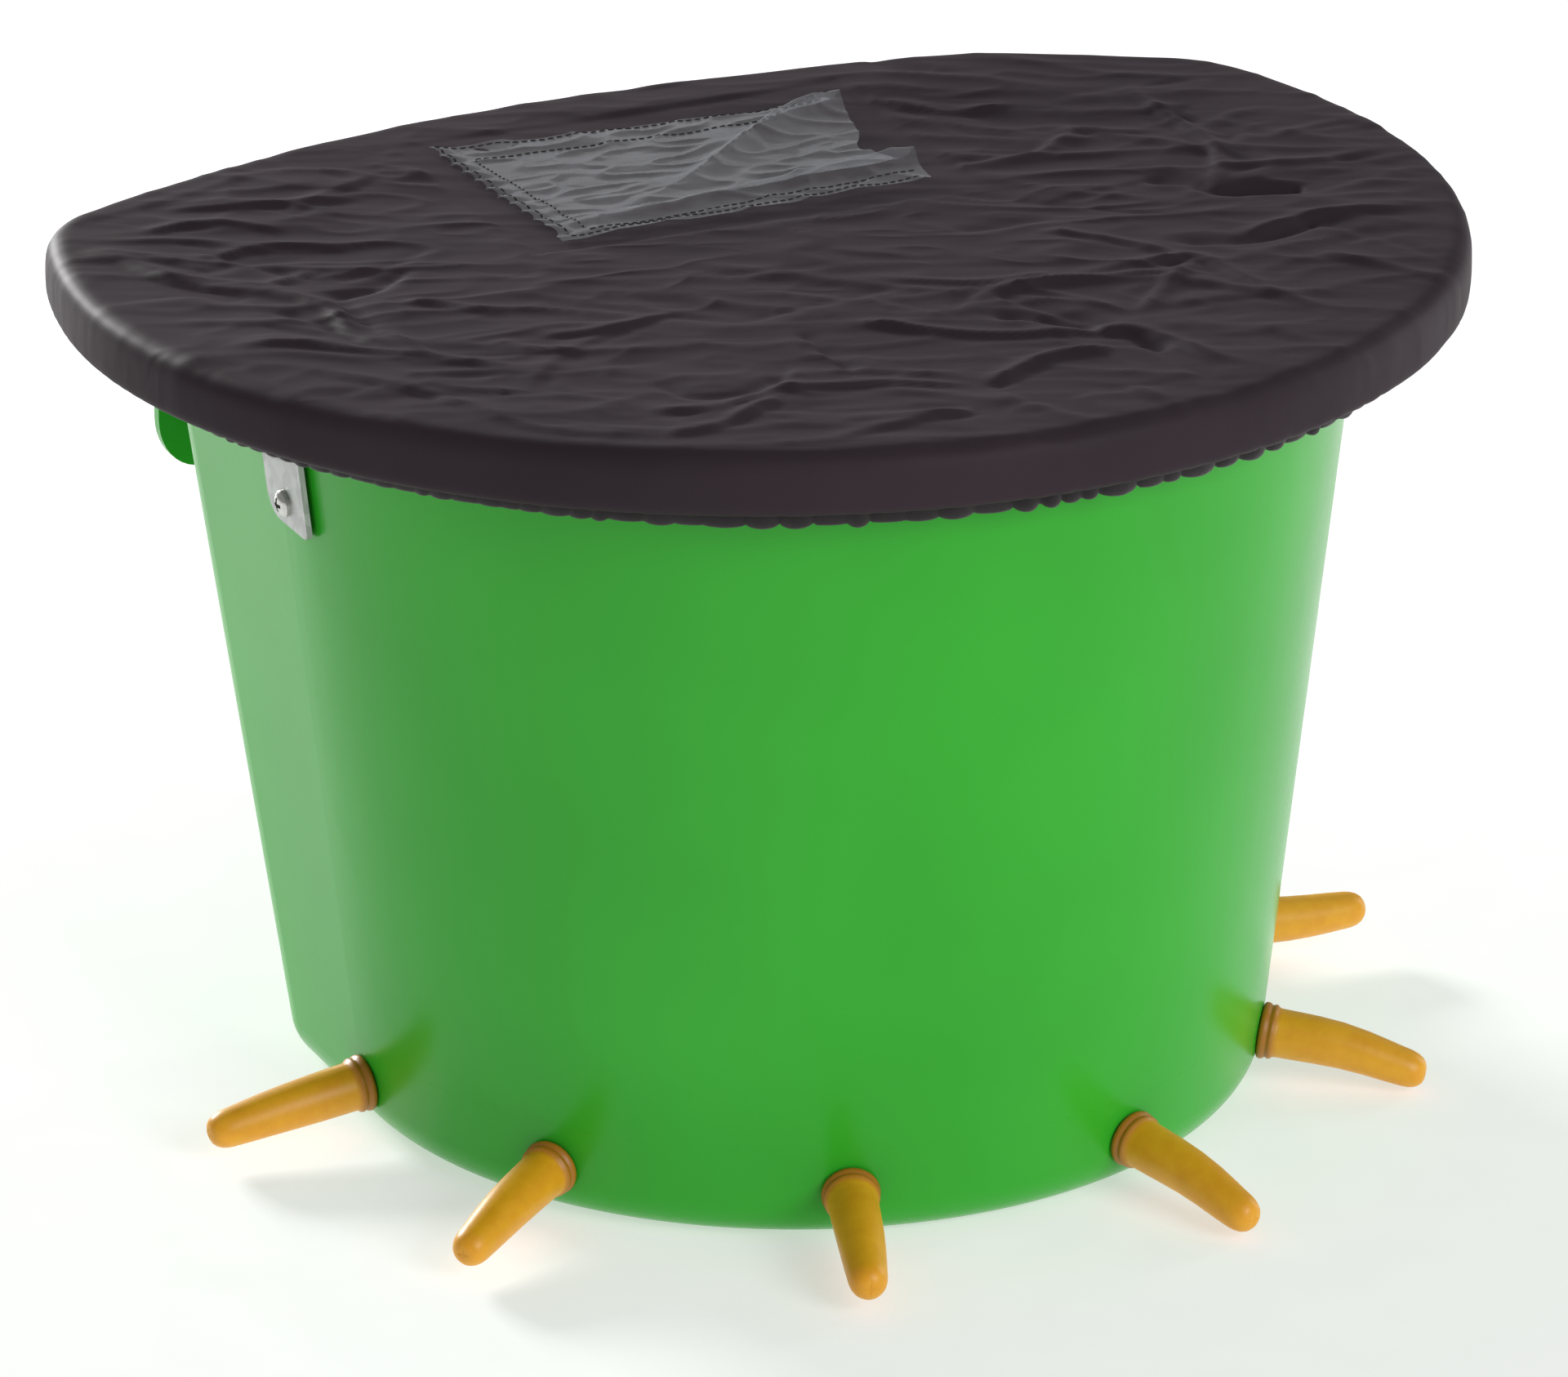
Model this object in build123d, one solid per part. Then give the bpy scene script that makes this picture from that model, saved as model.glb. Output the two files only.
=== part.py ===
from build123d import *
from math import atan, atan2, cos, degrees, pi, radians, sin, sqrt
import os

# Flat-backed tub with six lamb teats, a hanging lip and an elasticated cloth cover.
# Millimetres, +Z up, -Y the round front, +Y the flat back.
# The origin is on the underside, on the axis of the ring of teats.

# Tub, outer sizes
rim_height = 303.0
base_half_width = 164.5
top_half_width = 198.0
base_front = 158.0
top_front = 187.5
base_back = 96.0
top_back = 130.5
back_corner_radius = 30.0
base_edge_radius = 17.0
wall = 3.0
floor_thickness = 4.0
base_section_height = 36.0

# Rim flange, its skirt and the hanging lip at the back
rim_radius = 245.0
rim_centre_y = 36.5
rim_back_y = 189.0
rim_back_radius = 470.0
rim_corner_radius = 42.0
flange_thickness = 3.0
skirt_thickness = 3.0
skirt_depth = 19.0
rim_edge_radius = 6.0
lip_half_width = 182.0
lip_depth = 106.0
lip_thickness = 4.0
lip_corner_radius = 22.0

# Teats
teat_angles = (18.6, 54.8, 88.5)
teat_height = 20.0
teat_pitch = 7.0
teat_length = 60.0
teat_collar_radius = 10.0
teat_collar_length = 5.5
teat_collar_rounding = 1.3
teat_base_radius = 8.6
teat_tip_radius = 6.8
teat_neck_radius = 8.0
teat_flange_radius = 11.0
teat_flange_thickness = 3.0
teat_skin = 3.0
teat_slit_radius = 0.8
teat_hole_clearance = 0.1
teat_seat_gap = 0.05

# Pad moulded inside the wall round each teat hole
pad_radius = 13.0
pad_depth = 6.5

# Non-return valve pressed into the root of each teat
valve_radius = 4.9
valve_flange_radius = 8.0
valve_flange_thickness = 1.5
valve_end_thickness = 2.0
valve_chamber_radius = 3.5
valve_chamber_length = 6.0
valve_port_radius = 2.3
valve_slot_width = 1.2
valve_slot_reach = 3.3
ball_radius = 3.0
ball_gap = 0.15

# Steel angle that props the flange on each side, and its screws
bracket_width = 34.0
bracket_thickness = 2.0
bracket_drop = 72.0
bracket_shelf = 30.0
bracket_rear_radius = 9.0
bracket_front_radius = 3.5
bracket_bend_radius = 2.5
screw_drops = (63.0, 35.0)
screw_radius = 2.5
screw_hole_clearance = 0.15
screw_length = 15.0
screw_head_radius = 4.75
screw_head_height = 3.4
screw_head_side = 1.53
screw_dome_radius = 3.42
screw_dome_drop = 0.75
screw_recess_width = 1.3
screw_recess_length = 5.2
screw_recess_depth = 1.7
washer_radius = 5.0
washer_thickness = 1.0
washer_seat_gap = 0.7
nut_across_flats = 8.0
nut_thickness = 4.0
nut_clearance = 0.05

# Cover
cloth_thickness = 1.0
cloth_gap = 0.5
cloth_lift = 0.3
band_depth = 21.0
hem_depth = 10.0
hem_gap = 0.4
hem_thickness = 2.2
hem_fold_height = 1.8
hem_fold_pitch = 24.0
elastic_thickness = 0.7
elastic_width = 6.0
elastic_clearance = 0.2

# Clear pocket for a document, stitched to the top of the cover
pocket_width = 152.0
pocket_length = 106.0
pocket_thickness = 0.8
pocket_centre_y = 93.0
pocket_corner_radius = 2.0

points_per_fold = 4
same_radius = 1e-6
side_draft = degrees(atan((top_half_width - base_half_width) / rim_height))
flange_underside = rim_height - flange_thickness
bracket_bottom = rim_height - bracket_drop
screw_heights = tuple(rim_height - drop for drop in screw_drops)


def at_height(base_value, top_value, z):
    return base_value + (top_value - base_value) * z / rim_height


def half_width(z):
    return at_height(base_half_width, top_half_width, z)


def front(z):
    return at_height(base_front, top_front, z)


def back(z):
    return at_height(base_back, top_back, z)


def tub_section(z, inset=0.0):
    side = half_width(z) - inset
    nose = front(z) - inset
    rear = back(z) - inset
    corner = back_corner_radius - inset
    centre = side - nose
    outline = Wire([
        ThreePointArc((-side, centre), (0, -nose), (side, centre)),
        Line((side, centre), (side, rear - corner)),
        CenterArc((side - corner, rear - corner), corner, 0, 90),
        Line((side - corner, rear), (corner - side, rear)),
        CenterArc((corner - side, rear - corner), corner, 90, 90),
        Line((-side, rear - corner), (-side, centre)),
    ])
    return Pos(0, 0, z) * Face(outline)


def tub_block(bottom, top, inset, edge_radius):
    block = loft([tub_section(bottom, inset), tub_section(top, inset)], ruled=True)
    floor_edges = block.faces().sort_by(Axis.Z)[0].edges()
    return fillet(floor_edges, edge_radius)


def rim_plan(outset=0.0):
    # Two circles, the round rim and the gentle back, joined by a corner arc tangent to both.
    rim = rim_radius + outset
    rear = rim_back_radius + outset
    corner = rim_corner_radius + outset
    rear_centre_y = rim_back_y - rim_back_radius
    apart = rim_centre_y - rear_centre_y
    rise = ((rear - corner) ** 2 - (rim - corner) ** 2 - apart ** 2) / (2 * apart)
    reach = sqrt((rim - corner) ** 2 - rise ** 2)
    centre = Vector(reach, rim_centre_y + rise)
    side_turn = atan2(rise, reach)
    rear_turn = atan2(centre.Y - rear_centre_y, reach)

    def spot(radius, middle_x, middle_y, turn):
        return (middle_x + radius * cos(turn), middle_y + radius * sin(turn))

    side = spot(corner, centre.X, centre.Y, side_turn)
    side_to_rear = spot(corner, centre.X, centre.Y, (side_turn + rear_turn) / 2)
    shoulder = spot(corner, centre.X, centre.Y, rear_turn)
    left = [(-point[0], point[1]) for point in (shoulder, side_to_rear, side)]
    outline = Wire([
        ThreePointArc(left[2], (0, rim_centre_y - rim), side),
        ThreePointArc(side, side_to_rear, shoulder),
        ThreePointArc(shoulder, (0, rear_centre_y + rear), left[0]),
        ThreePointArc(left[0], left[1], left[2]),
    ])
    return Face(outline)


def rim_cap(outset, bottom, top, edge_radius):
    cap = extrude(Pos(0, 0, bottom) * rim_plan(outset), top - bottom)
    return fillet(cap.faces().sort_by(Axis.Z)[-1].edges(), edge_radius)


def hanging_lip():
    bottom = rim_height - lip_depth
    ring = rim_plan() - rim_plan(-lip_thickness)
    top = rim_height - rim_edge_radius
    band = extrude(Pos(0, 0, bottom) * ring, top - bottom)
    reach = 2 * rim_radius
    window = Pos(0, 0, bottom + reach / 2) * (Plane.XZ * RectangleRounded(
        2 * lip_half_width, reach, lip_corner_radius))
    return band & extrude(window, -reach)


def teat_places():
    signs = [-1, -1, -1, 1, 1, 1]
    angles = list(reversed(teat_angles)) + list(teat_angles)
    side = half_width(teat_height)
    centre = side - front(teat_height)
    places = []
    for sign, angle in zip(signs, angles):
        turn = radians(sign * angle)
        spot = Vector(side * sin(turn), centre - side * cos(turn), teat_height)
        level = cos(radians(teat_pitch))
        outward = Vector(sin(turn) * level, -cos(turn) * level, -sin(radians(teat_pitch)))
        places.append(Plane(origin=spot + outward * teat_seat_gap, z_dir=outward))
    return places


def spun(points):
    profile = Plane.XZ * make_face(Polyline(*points, close=True))
    return revolve(profile, Axis.Z)


def rod(radius, bottom, top):
    return Pos(0, 0, bottom) * extrude(Circle(radius), top - bottom)


def teat():
    inner_end = -pad_depth - teat_flange_thickness
    tip_centre = teat_length - teat_tip_radius
    bore = valve_radius + teat_hole_clearance
    valve_end = inner_end + valve_end_thickness + valve_chamber_length + valve_end_thickness
    outer = Polyline(
        (0, inner_end), (teat_flange_radius, inner_end), (teat_flange_radius, -pad_depth),
        (teat_neck_radius, -pad_depth), (teat_neck_radius, 0), (teat_collar_radius, 0),
        (teat_collar_radius, teat_collar_length), (teat_base_radius, teat_collar_length),
        (teat_tip_radius, tip_centre))
    tip = ThreePointArc(
        (teat_tip_radius, tip_centre),
        (teat_tip_radius * sin(pi / 4), tip_centre + teat_tip_radius * cos(pi / 4)),
        (0, teat_length))
    axis = Line((0, teat_length), (0, inner_end))
    body = revolve(Plane.XZ * make_face([outer, tip, axis]), Axis.Z)
    collar_edges = body.edges().filter_by(GeomType.CIRCLE).filter_by(
        lambda e: abs(e.radius - teat_collar_radius) < same_radius)
    body = fillet(collar_edges, teat_collar_rounding)
    hollow_root = teat_base_radius - teat_skin
    hollow_tip = teat_tip_radius - teat_skin
    milk_way = spun([
        (0, inner_end), (bore, inner_end), (bore, valve_end), (hollow_root, valve_end),
        (hollow_tip, tip_centre), (teat_slit_radius, tip_centre + hollow_tip),
        (teat_slit_radius, teat_length), (0, teat_length)])
    return body - milk_way


def valve_body():
    seat = -pad_depth - teat_flange_thickness
    far_end = seat + valve_end_thickness + valve_chamber_length
    near_wall = seat + valve_end_thickness
    body = rod(valve_flange_radius, seat - valve_flange_thickness, seat)
    body += rod(valve_radius, seat, far_end + valve_end_thickness)
    body -= rod(valve_chamber_radius, near_wall, far_end)
    body -= rod(valve_port_radius, seat - valve_flange_thickness, far_end + valve_end_thickness)
    for turn in (0, 90):
        slot = Box(2 * valve_slot_reach, valve_slot_width, valve_end_thickness)
        body -= Pos(0, 0, far_end + valve_end_thickness / 2) * Rot(0, 0, turn) * slot
    return body


def ball_centre():
    seat = -pad_depth - teat_flange_thickness
    far_end = seat + valve_end_thickness + valve_chamber_length
    sink = sqrt(ball_radius ** 2 - valve_port_radius ** 2)
    return far_end - sink - ball_gap


def hollow_inside():
    inset = wall / cos(radians(side_draft))
    return tub_block(floor_thickness, rim_height, inset, base_edge_radius - wall)


def tub(places, screw_planes):
    # One moulding with the rim, kept as base, wall and rim. They meet face to face.
    block = tub_block(0, flange_underside, 0, base_edge_radius)
    shell = block - hollow_inside()
    for place in places:
        pad = place * rod(pad_radius, -pad_depth, 0)
        shell += pad & block
    for place in places:
        hole = teat_neck_radius + teat_hole_clearance
        shell -= place * rod(hole, -2 * pad_depth, pad_depth)
    for plane in screw_planes:
        shell -= plane * rod(screw_radius + screw_hole_clearance, -2 * wall, wall)
    level = Plane.XY.offset(base_section_height)
    return shell.split(level, keep=Keep.BOTTOM), shell.split(level, keep=Keep.TOP)


def rim():
    skirt_bottom = rim_height - skirt_depth
    cap = rim_cap(0, skirt_bottom, rim_height, rim_edge_radius)
    cap -= rim_cap(-skirt_thickness, skirt_bottom, flange_underside,
                   rim_edge_radius - skirt_thickness)
    return cap + hanging_lip() - hollow_inside()


def screw_plane(side, z):
    tilt = radians(side_draft)
    return Plane(origin=(side * half_width(z), 0, z), x_dir=(0, side, 0),
                 z_dir=(side * cos(tilt), 0, -sin(tilt)))


def bracket(side):
    skew = bracket_thickness / cos(radians(side_draft))
    under = flange_underside
    lower = under - bracket_thickness
    profile = Plane.XZ * make_face(Polyline(
        (half_width(bracket_bottom), bracket_bottom),
        (half_width(under), under),
        (half_width(under) + bracket_shelf, under),
        (half_width(under) + bracket_shelf, lower),
        (half_width(lower) + skew, lower),
        (half_width(bracket_bottom) + skew, bracket_bottom), close=True))
    plate = extrude(profile, bracket_width / 2, both=True)
    inner_bend = plate.edges().filter_by(Axis.Y).sort_by_distance(
        (half_width(lower) + skew, 0, lower))[0]
    plate = fillet(inner_bend, bracket_bend_radius)
    low_edges = plate.edges().filter_by(Axis.X, tolerance=1).group_by(Axis.Z)[0].sort_by(Axis.Y)
    plate = fillet(low_edges[-1], bracket_rear_radius)
    low_edges = plate.edges().filter_by(Axis.X, tolerance=1).group_by(Axis.Z)[0].sort_by(Axis.Y)
    plate = fillet(low_edges[0], bracket_front_radius)
    for z in screw_heights:
        plane = screw_plane(1, z)
        plate -= plane * rod(screw_radius + screw_hole_clearance, -wall, 2 * wall)
    return plate if side > 0 else mirror(plate, Plane.YZ)


def screw():
    seat = bracket_thickness
    crown = seat + screw_head_height
    edge = ThreePointArc(
        (screw_head_radius, seat + screw_head_side),
        (screw_dome_radius, crown - screw_dome_drop), (0, crown))
    sides = Polyline((0, crown), (0, seat - screw_length), (screw_radius, seat - screw_length),
                     (screw_radius, seat), (screw_head_radius, seat),
                     (screw_head_radius, seat + screw_head_side))
    body = revolve(Plane.XZ * make_face([edge, sides]), Axis.Z)
    recess = Box(screw_recess_length, screw_recess_width, 2 * screw_recess_depth)
    return body - Pos(0, 0, crown) * (recess + Rot(0, 0, 90) * recess)


def washer():
    # The wall's inside is slightly hollow here, so the washer bears on its two edges.
    top = -wall - washer_seat_gap
    ring = rod(washer_radius, top - washer_thickness, top)
    return ring - rod(screw_radius + screw_hole_clearance, top - washer_thickness, top)


def nut():
    top = -wall - washer_seat_gap - washer_thickness
    corner = nut_across_flats / 2 / cos(pi / 6)
    block = Pos(0, 0, top - nut_thickness) * extrude(RegularPolygon(corner, 6), nut_thickness)
    return block - rod(screw_radius + nut_clearance, top - nut_thickness, top)


def folded_ring(offset, thickness):
    outline = rim_plan(cloth_gap).face().outer_wire()
    folds = round(outline.length / hem_fold_pitch)
    rings = []
    for distance in (offset, offset + thickness):
        points = []
        for step in range(folds * points_per_fold):
            share = step / (folds * points_per_fold)
            swell = hem_fold_height / 2 * (1 - cos(2 * pi * folds * share))
            spot = outline.position_at(share)
            along = outline.tangent_at(share)
            out = Vector(along.Y, -along.X, 0)
            if out.dot(spot - Vector(0, rim_centre_y, 0)) < 0:
                out = out * -1
            points.append(spot + out * (distance + swell))
        rings.append(Face(Wire(Spline(*points, periodic=True))))
    return rings[1] - rings[0]


def cover_cloth():
    top = rim_height + cloth_lift + cloth_thickness
    band_bottom = rim_height - band_depth
    cap = rim_cap(cloth_gap + cloth_thickness, band_bottom, top, rim_edge_radius + cloth_thickness)
    cap -= rim_cap(cloth_gap, band_bottom, rim_height + cloth_lift, rim_edge_radius)
    hem = extrude(
        Pos(0, 0, band_bottom - hem_depth) * folded_ring(hem_gap, hem_thickness), hem_depth)
    tunnel_start = hem_gap + (hem_thickness - elastic_thickness - elastic_clearance) / 2
    tunnel_height = elastic_width + elastic_clearance
    tunnel = extrude(
        Pos(0, 0, band_bottom - hem_depth / 2 - tunnel_height / 2)
        * folded_ring(tunnel_start, elastic_thickness + elastic_clearance), tunnel_height)
    return cap + (hem - tunnel)


def cover_elastic():
    start = hem_gap + (hem_thickness - elastic_thickness) / 2
    bottom = rim_height - band_depth - hem_depth / 2 - elastic_width / 2
    return extrude(Pos(0, 0, bottom) * folded_ring(start, elastic_thickness), elastic_width)


def document_pocket():
    top = rim_height + cloth_lift + cloth_thickness
    film = RectangleRounded(pocket_width, pocket_length, pocket_corner_radius)
    return extrude(Pos(0, pocket_centre_y, top) * film, pocket_thickness)


def save(name, *solids):
    shape = solids[0] if len(solids) == 1 else Compound(children=list(solids))
    export_step(shape, f"parts/{name}.step")


os.makedirs("parts", exist_ok=True)
places = teat_places()
sides = {"left": -1, "right": 1}
screw_planes = {name: [screw_plane(side, z) for z in screw_heights] for name, side in sides.items()}

base, walls = tub(places, screw_planes["left"] + screw_planes["right"])
save("bucket_base", base)
save("bucket_shell", walls)
save("bucket_rim", rim())
for number, place in enumerate(places, start=1):
    save(f"teat_{number}", place * teat())
    save(f"valve_body_{number}", place * valve_body())
    save(f"valve_ball_{number}", place * Pos(0, 0, ball_centre()) * Sphere(ball_radius))
for name, side in sides.items():
    save(f"side_bracket_{name}", bracket(side))
    save(f"bracket_screws_{name}", *[plane * screw() for plane in screw_planes[name]])
    save(f"bracket_washers_{name}", *[plane * washer() for plane in screw_planes[name]])
    save(f"bracket_nuts_{name}", *[plane * nut() for plane in screw_planes[name]])
save("cover_cloth", cover_cloth())
save("cover_elastic", cover_elastic())
save("document_pocket", document_pocket())
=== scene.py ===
import bpy, bmesh, math, random
from mathutils import Matrix, Vector, noise


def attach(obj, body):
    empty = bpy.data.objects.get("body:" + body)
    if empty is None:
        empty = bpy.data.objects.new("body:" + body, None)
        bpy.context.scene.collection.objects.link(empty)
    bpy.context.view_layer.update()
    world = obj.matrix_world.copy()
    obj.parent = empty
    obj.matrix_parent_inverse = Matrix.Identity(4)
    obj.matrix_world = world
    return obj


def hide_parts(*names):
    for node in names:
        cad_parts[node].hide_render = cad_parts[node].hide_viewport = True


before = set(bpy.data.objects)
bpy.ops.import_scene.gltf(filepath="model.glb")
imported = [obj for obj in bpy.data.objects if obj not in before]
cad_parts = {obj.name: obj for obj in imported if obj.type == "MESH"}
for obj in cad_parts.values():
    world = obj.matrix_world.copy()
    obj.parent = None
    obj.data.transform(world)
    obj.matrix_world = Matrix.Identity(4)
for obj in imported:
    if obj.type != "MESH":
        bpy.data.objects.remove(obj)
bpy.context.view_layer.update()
print("frame loaded")


# Shared helpers
def smoothStep(low, high, value):
    share = min(max((value - low) / (high - low), 0.0), 1.0)
    return share * share * (3 - 2 * share)


def blendValue(start, end, share):
    return start + (end - start) * share


def hexColour(text, alpha=1.0):
    channels = [int(text[i:i + 2], 16) / 255 for i in (1, 3, 5)]
    linear = [c / 12.92 if c <= 0.04045 else ((c + 0.055) / 1.055) ** 2.4 for c in channels]
    return (*linear, alpha)


def addNode(tree, kind, settings=None, inputs=None, links=None):
    node = tree.nodes.new(kind)
    for name, value in (settings or {}).items():
        setattr(node, name, value)
    for name, value in (inputs or {}).items():
        node.inputs[name].default_value = value
    for name, source in (links or {}).items():
        tree.links.new(source, node.inputs[name])
    return node


def newMaterial(name, **shaderInputs):
    material = bpy.data.materials.new(name)
    material.use_nodes = True
    tree = material.node_tree
    shader = tree.nodes["Principled BSDF"]
    for socket, value in shaderInputs.items():
        shader.inputs[socket.replace("_", " ")].default_value = value
    coords = addNode(tree, "ShaderNodeTexCoord")
    return material, tree, shader, coords.outputs["Object"]


def stretched(tree, source, scale, turn=0.0):
    return addNode(tree, "ShaderNodeMapping",
                   inputs={"Scale": scale, "Rotation": (0, 0, turn)},
                   links={"Vector": source}).outputs["Vector"]


def noiseValue(tree, vector, scale, detail=3.0, roughness=0.5, distortion=0.0, kind="FBM"):
    return addNode(tree, "ShaderNodeTexNoise", {"noise_type": kind},
                   {"Scale": scale, "Detail": detail, "Roughness": roughness,
                    "Distortion": distortion}, {"Vector": vector}).outputs[0]


def ramp(tree, value, stops):
    node = addNode(tree, "ShaderNodeValToRGB", links={"Fac": value})
    elements = node.color_ramp.elements
    while len(elements) < len(stops):
        elements.new(0.5)
    for element, (place, colour) in zip(elements, stops):
        element.position = place
        element.color = colour
    return node.outputs["Color"]


def bump(tree, height, distance, strength=1.0, after=None):
    links = {"Height": height}
    if after is not None:
        links["Normal"] = after
    return addNode(tree, "ShaderNodeBump", inputs={"Distance": distance, "Strength": strength},
                   links=links).outputs["Normal"]


def mapped(tree, value, inputs):
    return addNode(tree, "ShaderNodeMapRange", inputs=inputs,
                   links={"Value": value}).outputs["Result"]


def colourCloud(tree, shader, value, low, high, start=0.3, end=0.7):
    # Runs the base colour between two close tones
    colour = ramp(tree, value, [(start, hexColour(low)), (end, hexColour(high))])
    tree.links.new(colour, shader.inputs["Base Color"])


def finishPiece(name, bm, material, body):
    mesh = bpy.data.meshes.new(name)
    bm.to_mesh(mesh)
    bm.free()
    mesh.polygons.foreach_set("use_smooth", [True] * len(mesh.polygons))
    mesh.materials.append(material)
    piece = bpy.data.objects.new(name, mesh)
    bpy.context.collection.objects.link(piece)
    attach(piece, body)
    return piece


def grid(columns, rows):
    bm = bmesh.new()
    bmesh.ops.create_grid(bm, x_segments=columns, y_segments=rows, size=1.0)
    return bm


# The rim's outline, with the same sizes as the solids, in metres
rim = {
    "radius": 0.245, "centreY": 0.0365, "backY": 0.189, "backRadius": 0.470,
    "cornerRadius": 0.042, "top": 0.303, "lipHalfWidth": 0.182,
}


def rimArcs():
    rearY = rim["backY"] - rim["backRadius"]
    apart = rim["centreY"] - rearY
    inner = rim["radius"] - rim["cornerRadius"]
    rise = ((rim["backRadius"] - rim["cornerRadius"]) ** 2 - inner ** 2 - apart ** 2) / (2 * apart)
    reach = math.sqrt(inner ** 2 - rise ** 2)
    centreY = rim["centreY"] + rise
    sideTurn = math.atan2(rise, reach)
    rearTurn = math.atan2(centreY - rearY, reach)
    half = math.pi
    return [
        (0, rim["centreY"], rim["radius"], -half / 2, sideTurn),
        (reach, centreY, rim["cornerRadius"], sideTurn, rearTurn),
        (0, rearY, rim["backRadius"], rearTurn, half - rearTurn),
        (-reach, centreY, rim["cornerRadius"], half - rearTurn, half - sideTurn),
        (0, rim["centreY"], rim["radius"], half - sideTurn, 1.5 * half),
    ]


arcs = rimArcs()
arcLengths = [radius * (end - start) for _, _, radius, start, end in arcs]
rimLength = sum(arcLengths)


def rimSpot(share, outset=0.0):
    distance = (share % 1.0) * rimLength
    for (x, y, radius, start, end), length in zip(arcs, arcLengths):
        if distance <= length:
            turn = start + distance / radius
            break
        distance -= length
    out = Vector((math.cos(turn), math.sin(turn)))
    return Vector((x, y)) + out * (radius + outset), out


print("rim length", round(rimLength, 4))


# Camera, lights and floor
stageSettings = {
    "azimuth": -25.0, "elevation": 21.6, "distance": 3.075, "lens": 201.5,
    "side": -0.0064, "height": 0.1385, "shiftX": -0.0007, "shiftY": 0.0027,
    "floor": 12.0, "world": 0.3, "floorGlow": 0.5,
}
# Where each light stands, what it is aimed at, its width and height, and its watts
lightSettings = {
    "grazingSoftbox": ((-0.6, 2.5, 0.86), (0, 0, 0.3), (0.8, 0.4), 80),
    "frontSoftbox": ((0.9, -2.9, 1.5), (0, 0, 0.12), (1.6, 1.6), 52),
    "backSoftbox": ((1.3, 2.7, 1.45), (0, 0, 0.3), (1.9, 0.55), 1.5),
    "rightStrip": ((2.6, 0.3, 0.8), (0, 0, 0.15), (0.5, 1.6), 12),
}


def makeCamera():
    turn = math.radians(stageSettings["azimuth"])
    tilt = math.radians(stageSettings["elevation"])
    right = Vector((math.cos(turn), math.sin(turn), 0))
    back = Vector((math.sin(turn) * math.cos(tilt), -math.cos(turn) * math.cos(tilt),
                   math.sin(tilt)))
    target = right * stageSettings["side"] + Vector((0, 0, stageSettings["height"]))
    data = bpy.data.cameras.new("photoCamera")
    data.lens = stageSettings["lens"]
    data.sensor_width = 36.0
    data.sensor_fit = "HORIZONTAL"
    data.shift_x = stageSettings["shiftX"]
    data.shift_y = stageSettings["shiftY"]
    data.clip_end = 50.0
    camera = bpy.data.objects.new("photoCamera", data)
    up = back.cross(right)
    turned = Matrix((right, up, back)).transposed().to_4x4()
    camera.matrix_world = Matrix.Translation(target + back * stageSettings["distance"]) @ turned
    bpy.context.collection.objects.link(camera)
    bpy.context.scene.camera = camera


def addLight(name, place, aim, size, power):
    data = bpy.data.lights.new(name, "AREA")
    data.shape = "RECTANGLE"
    data.size, data.size_y = size
    data.energy = power
    lamp = bpy.data.objects.new(name, data)
    lamp.location = place
    lamp.rotation_euler = (Vector(aim) - Vector(place)).to_track_quat("-Z", "Y").to_euler()
    bpy.context.collection.objects.link(lamp)


def makeStage():
    scene = bpy.context.scene
    world = bpy.data.worlds.new("studioWorld")
    world.use_nodes = True
    background = world.node_tree.nodes["Background"]
    background.inputs["Color"].default_value = (1, 1, 1, 1)
    background.inputs["Strength"].default_value = stageSettings["world"]
    scene.world = world
    scene.view_settings.view_transform = "Standard"
    for name, settings in lightSettings.items():
        addLight(name, *settings)
    # Nearly white paper, lit a little from within: the ground stays plain and keeps only
    # a faint contact shadow. Its grain is 25 mm across.
    paper, tree, shader, coords = newMaterial("paperFloor", Roughness=0.9)
    grain = noiseValue(tree, coords, 40.0)
    colourCloud(tree, shader, grain, "#c6c6c5", "#cacac9")
    shader.inputs["Emission Color"].default_value = (1, 1, 1, 1)
    shader.inputs["Emission Strength"].default_value = stageSettings["floorGlow"]
    bm = bmesh.new()
    bmesh.ops.create_grid(bm, x_segments=1, y_segments=1, size=stageSettings["floor"] / 2)
    mesh = bpy.data.meshes.new("floorSheet")
    bm.to_mesh(mesh)
    bm.free()
    mesh.materials.append(paper)
    floor = bpy.data.objects.new("floorSheet", mesh)
    bpy.context.collection.objects.link(floor)


makeCamera()
makeStage()
print("stage made")


# Materials of the hard parts
def tubPlastic():
    # Glossy injection-moulded green: slight cloudiness in the colour, a faint orange peel
    # 4 mm across, and rub marks 70 mm across that break the gloss.
    material, tree, shader, coords = newMaterial(
        "mouldedPolypropylene", Roughness=0.24, IOR=1.47, Specular_IOR_Level=0.38)
    cloud = noiseValue(tree, coords, 9.0, 2.0)
    colourCloud(tree, shader, cloud, "#2ba524", "#2fad28", 0.35, 0.65)
    rub = mapped(tree, noiseValue(tree, coords, 14.0, 2.0),
                 {"From Min": 0.35, "From Max": 0.75, "To Min": 0.22, "To Max": 0.27})
    tree.links.new(rub, shader.inputs["Roughness"])
    peel = noiseValue(tree, coords, 260.0, 2.0)
    tree.links.new(bump(tree, peel, 0.00004, 0.35), shader.inputs["Normal"])
    return material


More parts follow.
